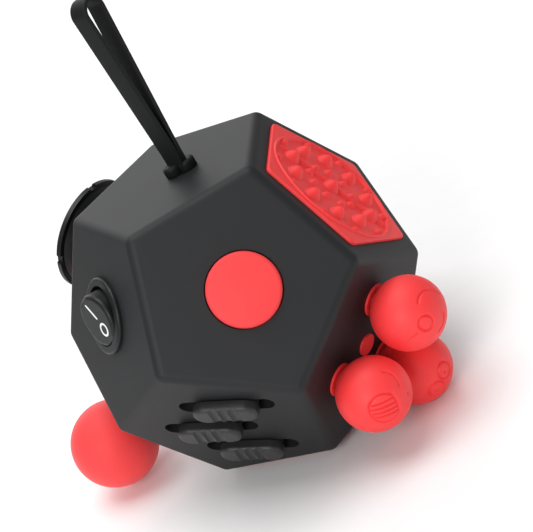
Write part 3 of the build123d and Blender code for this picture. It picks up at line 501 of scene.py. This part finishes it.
def pad_skin(top, height, flat_r, steps=360):
    """A pad's skin: height(x, y) inside flat_r, then flat out to a bevelled edge, and closed below."""
    turns = [2 * math.pi * i / steps for i in range(steps)]
    reach = [pad_reach(turn) for turn in turns]
    rings = []
    for k in range(PAD_RINGS + 1):
        r = flat_r * k / PAD_RINGS
        rings.append([(r * math.cos(t), r * math.sin(t), height(r * math.cos(t), r * math.sin(t)))
                      for t in turns])
    for share in (0.35, 0.7, 1.0):
        rings.append([((flat_r + share * (e - PAD_BEVEL - flat_r)) * math.cos(t),
                       (flat_r + share * (e - PAD_BEVEL - flat_r)) * math.sin(t), top)
                      for t, e in zip(turns, reach)])
    for out, z in arc((-PAD_BEVEL, top - PAD_BEVEL), PAD_BEVEL, 90, 0, 5)[1:] + [(0, -POCKET)]:
        rings.append([((e + out) * math.cos(t), (e + out) * math.sin(t), z)
                      for t, e in zip(turns, reach)])
    rings.append([(0, 0, -POCKET)] * steps)
    return loft(rings)


def mat_height(x, y):
    """The mat's surface: a shallow recess, a raised circle and a raised rib."""
    (ax, ay), (bx, by) = RIB
    share = ((x - ax) * (bx - ax) + (y - ay) * (by - ay)) / ((bx - ax) ** 2 + (by - ay) ** 2)
    share = min(1, max(0, share))
    away = math.hypot(x - ax - share * (bx - ax), y - ay - share * (by - ay))
    radius = math.hypot(x, y)
    recess = RECESS / (1 + math.exp((radius - RIDGE_R) / 0.08))
    ridge = RIDGE_HEIGHT * math.exp(-((radius - RIDGE_R) / RIDGE_HALF) ** 4)
    rib = RIB_HEIGHT * math.exp(-(away / RIB_HALF) ** 4)
    return PAD_PROUD - recess + max(ridge, rib)


mat_skin = pad_skin(PAD_PROUD, mat_height, RIDGE_R + 0.55)
mat = piece("studded_mat", mat_skin, PAD_FACE, red_silicone, crease=50)
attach(mat, "shell")
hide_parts("nub_pad")

# One tree makes a whole ring of studs. A ball is pulled up into a cone with a soft tip above its
# middle and flattened below it, and a copy is put on each point of a circle.
STUD_TIP = 0.12
STUD_FLAT = 0.4
STUD_SUNK = 0.4
studs = bpy.data.node_groups.new("ring_of_studs", "GeometryNodeTree")
for name, kind in (("Count", "NodeSocketInt"), ("Ring Radius", "NodeSocketFloat"),
                   ("First Angle", "NodeSocketFloat"), ("Stud Radius", "NodeSocketFloat"),
                   ("Stud Height", "NodeSocketFloat"), ("Material", "NodeSocketMaterial")):
    studs.interface.new_socket(name, in_out="INPUT", socket_type=kind)
studs.interface.new_socket("Studs", in_out="OUTPUT", socket_type="NodeSocketGeometry")
given = add(studs, "NodeGroupInput").outputs


def sums(operation, *values):
    """One step of arithmetic in the studs' tree."""
    return add(studs, "ShaderNodeMath", dict(enumerate(values)), operation=operation).outputs[0]


ball_shape = add(studs, "GeometryNodeMeshUVSphere", {"Segments": 28, "Rings": 20, "Radius": 1.0})
position = add(studs, "GeometryNodeInputPosition").outputs[0]
point = add(studs, "ShaderNodeSeparateXYZ", {"Vector": position}).outputs
flat_point = add(studs, "ShaderNodeCombineXYZ", {"X": point["X"], "Y": point["Y"]}).outputs[0]
out = add(studs, "ShaderNodeVectorMath", {0: flat_point}, operation="LENGTH").outputs["Value"]
softened = sums("SQRT", sums("ADD", sums("MULTIPLY", out, out), STUD_TIP))
cone = sums("MULTIPLY", sums("SUBTRACT", math.sqrt(1 + STUD_TIP), softened), given["Stud Height"])
above = sums("MULTIPLY", cone, sums("GREATER_THAN", point["Z"], 0.001))
height = sums("ADD", above, sums("MULTIPLY", sums("MINIMUM", point["Z"], 0.0), STUD_FLAT))
stud_point = add(studs, "ShaderNodeCombineXYZ", {"X": sums("MULTIPLY", point["X"], given["Stud Radius"]),
                                                 "Y": sums("MULTIPLY", point["Y"], given["Stud Radius"]),
                                                 "Z": height}).outputs[0]
stud = add(studs, "GeometryNodeSetPosition", {"Geometry": ball_shape.outputs["Mesh"],
                                              "Position": stud_point})
places = add(studs, "GeometryNodeMeshCircle", {"Vertices": given["Count"],
                                               "Radius": given["Ring Radius"]})
first = add(studs, "ShaderNodeCombineXYZ", {"Z": given["First Angle"]}).outputs[0]
places = add(studs, "GeometryNodeTransform", {"Geometry": places.outputs["Mesh"], "Rotation": first})
# A ring of no radius is one stud, so its points are merged.
places = add(studs, "GeometryNodeMergeByDistance", {"Geometry": places.outputs["Geometry"],
                                                    "Distance": 0.01})
copies = add(studs, "GeometryNodeInstanceOnPoints", {"Points": places.outputs["Geometry"],
                                                     "Instance": stud.outputs["Geometry"]})
solid = add(studs, "GeometryNodeRealizeInstances", {"Geometry": copies.outputs["Instances"]})
solid = add(studs, "GeometryNodeSetShadeSmooth", {"Geometry": solid.outputs["Geometry"]})
solid = add(studs, "GeometryNodeSetMaterial", {"Geometry": solid.outputs["Geometry"],
                                               "Material": given["Material"]})
add(studs, "NodeGroupOutput", {"Studs": solid.outputs["Geometry"]})

SOCKETS = {item.name: item.identifier for item in studs.interface.items_tree if item.in_out == "INPUT"}
# Each row: its name, count, ring radius, first angle, and the radius and height of one stud.
STUD_ROWS = (("middle", 3, 0.0, 0.0, 1.9, 2.7), ("inner", 9, 5.3, 8.0, 1.1, 1.5),
             ("main", 10, 9.7, 10.0, 1.9, 2.7), ("outer", 10, 13.0, 28.0, 1.05, 1.3))
for name, count, ring_radius, first_angle, stud_radius, stud_height in STUD_ROWS:
    holder = bpy.data.objects.new("stud_holder", bpy.data.meshes.new("stud_holder"))
    bpy.context.scene.collection.objects.link(holder)
    rule = holder.modifiers.new("studs", "NODES")
    rule.node_group = studs
    for key, value in (("Count", count), ("Ring Radius", ring_radius), ("Stud Radius", stud_radius),
                       ("First Angle", math.radians(first_angle)), ("Stud Height", stud_height),
                       ("Material", red_silicone)):
        rule[SOCKETS[key]] = value
    bpy.context.view_layer.update()
    mesh = bpy.data.meshes.new_from_object(holder.evaluated_get(bpy.context.evaluated_depsgraph_get()))
    bpy.data.objects.remove(holder)
    mesh.materials.clear()
    mesh.materials.append(red_silicone)
    mesh.transform(at(PAD_FACE, 0, 0, depth=PAD_PROUD - STUD_SUNK) @ Matrix.Scale(MM, 4))
    build = bmesh.new()
    build.from_mesh(mesh)
    bmesh.ops.remove_doubles(build, verts=build.verts, dist=0.002 * MM)
    build.to_mesh(mesh)
    build.free()
    row = bpy.data.objects.new(f"studs_{name}", mesh)
    bpy.context.scene.collection.objects.link(row)
    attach(row, "shell")


# ---------------------------------------------------------------- worry pad
# A smooth dished pad in the same red silicone, bonded under the toy, for a thumb to rub. The toy
# stands on its flat rim.
WORRY_FACE = face_frame(0, -1)
WORRY_FLAT_R = 14.2
DISH_R = 11.6
DISH_DEPTH = 1.5
DISH_EASE = 0.004
REST_PROUD = CENTRE.z / MM - INRADIUS / MM


def dish_height(x, y):
    """A round dish whose lip is eased into the flat rim."""
    radius = math.hypot(x, y)
    bowl = DISH_DEPTH * (1 - (radius / DISH_R) ** 2)
    return REST_PROUD - (bowl + math.sqrt(bowl * bowl + DISH_EASE)) / 2


worry_skin = pad_skin(REST_PROUD, dish_height, WORRY_FLAT_R)
worry = piece("worry_dish", worry_skin, WORRY_FACE, red_silicone, crease=50)
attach(worry, "shell")
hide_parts("worry_pad")


# ---------------------------------------------------------------- thumb wheels and roller ball
# Three notched wheels turned in zinc and tumbled, side by side on a steel axle, and below them a
# polished steel ball that rolls in its socket.
# Tumbled zinc alloy: a cool mid grey with blurred highlights.
tumbled_zinc = metal("tumbled_zinc_alloy", "A2A4A7", 0.36, 0.4)
# Bearing steel, lapped: a bright mirror with the faintest haze.
lapped_steel = metal("lapped_bearing_steel", "D6D8DA", 0.1, 0.6)
give(tumbled_zinc, "thumb_wheel_1", "thumb_wheel_2", "thumb_wheel_3")
give(lapped_steel, "roller_ball")


# ---------------------------------------------------------------- dial
# A flared knob in satin black ABS that clicks round on a steel shaft, with four notches in its rim
# and a ringed rubber pad let into its top.
# Moulded rubber: near black, dry and matt, with a faint grey bloom.
black_rubber = moulded("moulded_black_rubber", "141516", "171819", 0.62, 0.2, 0.005,
                       **{"Sheen Weight": 0.1, "Sheen Roughness": 0.5})
give(satin_black_abs, "dial_cap")
give(black_rubber, "dial_pad")


# ---------------------------------------------------------------- joystick
# A ball knob in red ABS with a soft-touch coat, pressed on a steel stem that leans every way in a
# nylon gimbal and is brought back by a spring.
give(soft_touch_red, "joystick_knob")


# ---------------------------------------------------------------- five small buttons
# Red ABS keys in a five-sided pattern, held in by their flanges. They stand on one black rubber
# dome sheet that gives each of them its click.
give(soft_touch_red, *[f"small_button_{i}" for i in range(1, 6)])
give(black_rubber, "dome_sheet")


# ---------------------------------------------------------------- spinner
# A black ABS disc with five finger dimples, pressed on the inner ring of a small steel ball
# bearing whose outer ring sits in a nylon cup behind the face.
# Polished ABS: black, with a clear and slightly soft reflection.
polished_black_abs = moulded("polished_black_abs", "151617", "18191A", 0.24, 0.5, 0.001)
give(polished_black_abs, "spinner_disc")


# ---------------------------------------------------------------- carrying strap
# One flat ribbon of moulded black TPU. Its two limbs meet at the root and part steadily into a
# rounded eye, and its foot is a two-lobed collar held through the wall by a pin.
TOP_FACE = face_frame(0, 1)
STRAP = at(TOP_FACE, 2.3, -1.5, turn=-50.2)
STRAP_WIDTH = 4.2
STRAP_THICK = 0.95
STRAP_LOW = 2.2
STRAP_SUNK = 0.9
STRAP_HEIGHT = 37.4
STRAP_EDGE = 0.3
LIMB_STEPS = 90
EYE_WIDTH = 5.8
EYE_R = EYE_WIDTH / 2 - STRAP_THICK / 2
LIMB_OFF = STRAP_THICK / 2 + 0.04
# Moulded TPU: matt near-black, slightly greyer where it catches the light.
black_tpu = moulded("moulded_black_tpu", "101112", "131415", 0.58, 0.18, 0.005,
                    **{"Specular IOR Level": 0.25})

strap_top = STRAP_LOW + STRAP_HEIGHT - EYE_R - STRAP_THICK / 2
parting = STRAP_LOW + 2
limb = []
for k in range(LIMB_STEPS + 1):
    z = STRAP_LOW - STRAP_SUNK + (strap_top - STRAP_LOW + STRAP_SUNK) * k / LIMB_STEPS
    share = max(0, (z - parting) / (strap_top - parting))
    limb.append((LIMB_OFF + (EYE_R - LIMB_OFF) * share, z))
crown = arc((0, strap_top), EYE_R, 0, 180, 28)[1:-1]
ribbon_path = limb + crown + [(-y, z) for y, z in reversed(limb)]
section = []
for cx, cy, start in ((1, 1, 0), (-1, 1, 90), (-1, -1, 180), (1, -1, 270)):
    middle = (cx * (STRAP_WIDTH / 2 - STRAP_EDGE), cy * (STRAP_THICK / 2 - STRAP_EDGE))
    section += arc(middle, STRAP_EDGE, start, start + 90, 5)
ribbon_rings = []
for k, (y, z) in enumerate(ribbon_path):
    before, after = ribbon_path[max(k - 1, 0)], ribbon_path[min(k + 1, len(ribbon_path) - 1)]
    along = Vector((after[0] - before[0], after[1] - before[1])).normalized()
    ribbon_rings.append([(across, y + thick * along.y, z - thick * along.x) for across, thick in section])
first, last = ribbon_path[0], ribbon_path[-1]
ribbon_rings = [[(0, *first)] * len(section)] + ribbon_rings + [[(0, *last)] * len(section)]
ribbon = piece("strap_ribbon", loft(ribbon_rings), STRAP, black_tpu, crease=50)
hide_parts("strap_loop")
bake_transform(ribbon)

LOBE_R = 1.95
LOBE_AT = 1.45
COLLAR_TURN = 37
COLLAR_HEIGHT = 2.2
COLLAR_EDGE = 0.7
COLLAR_LOW = 0.02
COLLAR_STEPS = 128
STEM_HALVES = (2.3, 1.3)
STEM_LOW = -4.6


def two_lobed(inset, z):
    """One ring of the collar: the outline of two circles side by side."""
    ring = []
    for x, y in circle(0, 0, 1.0, COLLAR_STEPS):
        reach = LOBE_AT * abs(x) + math.sqrt(LOBE_R ** 2 - (LOBE_AT * y) ** 2) - inset
        ring.append((reach * x, reach * y, z))
    return ring


collar_rings = [[(0, 0, STEM_LOW)] * COLLAR_STEPS]
collar_rings += [[(STEM_HALVES[0] * x, STEM_HALVES[1] * y, z) for x, y in circle(0, 0, 1.0, COLLAR_STEPS)]
                 for z in (STEM_LOW, COLLAR_LOW)]
collar_rings += [two_lobed(0.15, COLLAR_LOW), two_lobed(0, 0.2)]
collar_rings += [two_lobed(inset, z)
                 for inset, z in arc((COLLAR_EDGE, COLLAR_HEIGHT - COLLAR_EDGE), COLLAR_EDGE, 180, 90, 8)]
collar_rings.append([(0, 0, COLLAR_HEIGHT)] * COLLAR_STEPS)
collar_place = STRAP @ Matrix.Rotation(math.radians(COLLAR_TURN), 4, "Z")
collar = piece("strap_collar", loft(collar_rings), collar_place, black_tpu)
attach(collar, "shell")
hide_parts("strap_root")


# ---------------------------------------------------------------- floor, light and camera
# A plain white floor under soft studio light: a large overhead panel, a small key from the front
# left, and a panel behind. The surroundings are white to the camera and dimmer to the object.
paper_white = moulded("matt_white_paper", "FAFAFA", "FCFCFC", 0.8, 1.0, 0.0002)
FLOOR_R = 0.4
FLOOR_STEPS = 96
floor_mesh = bpy.data.meshes.new("floor")
floor_rim = [(x, y, 0) for x, y in circle(0, 0, FLOOR_R, FLOOR_STEPS)]
floor_mesh.from_pydata(floor_rim, [], [tuple(range(FLOOR_STEPS))])
floor_mesh.materials.append(paper_white)
floor = bpy.data.objects.new("floor", floor_mesh)
bpy.context.scene.collection.objects.link(floor)

world = bpy.data.worlds.new("studio")
bpy.context.scene.world = world
world.use_nodes = True
sky = world.node_tree
sky.nodes.clear()
seen = add(sky, "ShaderNodeLightPath").outputs["Is Camera Ray"]
brightness = add(sky, "ShaderNodeMapRange", {"Value": seen, "To Min": 0.33, "To Max": 1.1})
white = add(sky, "ShaderNodeBackground", {"Color": (1, 1, 1, 1), "Strength": brightness.outputs["Result"]})
add(sky, "ShaderNodeOutputWorld", {"Surface": white.outputs["Background"]})
bpy.context.scene.view_settings.view_transform = "Standard"

# Each lamp: its name, place, size and power in watts. All of them point at the toy's middle.
LAMPS = (("overhead", (-0.05, 0.05, 1.2), 1.0, 10.0),
         ("key", (-0.4, -0.7, 0.4), 0.4, 3.4),
         ("back", (-0.1, 0.85, 0.38), 0.8, 2.8))
aim = Vector((7.3, 0.8, 33.6)) * MM
for name, place, size, energy in LAMPS:
    lamp = bpy.data.lights.new(name, "AREA")
    lamp.size = size
    lamp.energy = energy
    light = bpy.data.objects.new(name, lamp)
    bpy.context.scene.collection.objects.link(light)
    light.location = place
    light.rotation_euler = (aim - Vector(place)).to_track_quat("-Z", "Y").to_euler()

CAMERA_ROLL = -30.2
camera = bpy.data.objects.new("camera", bpy.data.cameras.new("camera"))
bpy.context.scene.collection.objects.link(camera)
camera.data.sensor_width = 36
camera.data.lens = 113.9
camera.data.clip_start = 0.01
stand = Vector((-2.1, -315.1, 174.4)) * MM
look = (aim - stand).to_track_quat("-Z", "Y").to_matrix().to_4x4()
roll = Matrix.Rotation(math.radians(CAMERA_ROLL), 4, "Z")
camera.matrix_world = Matrix.Translation(stand) @ look @ roll
bpy.context.scene.camera = camera
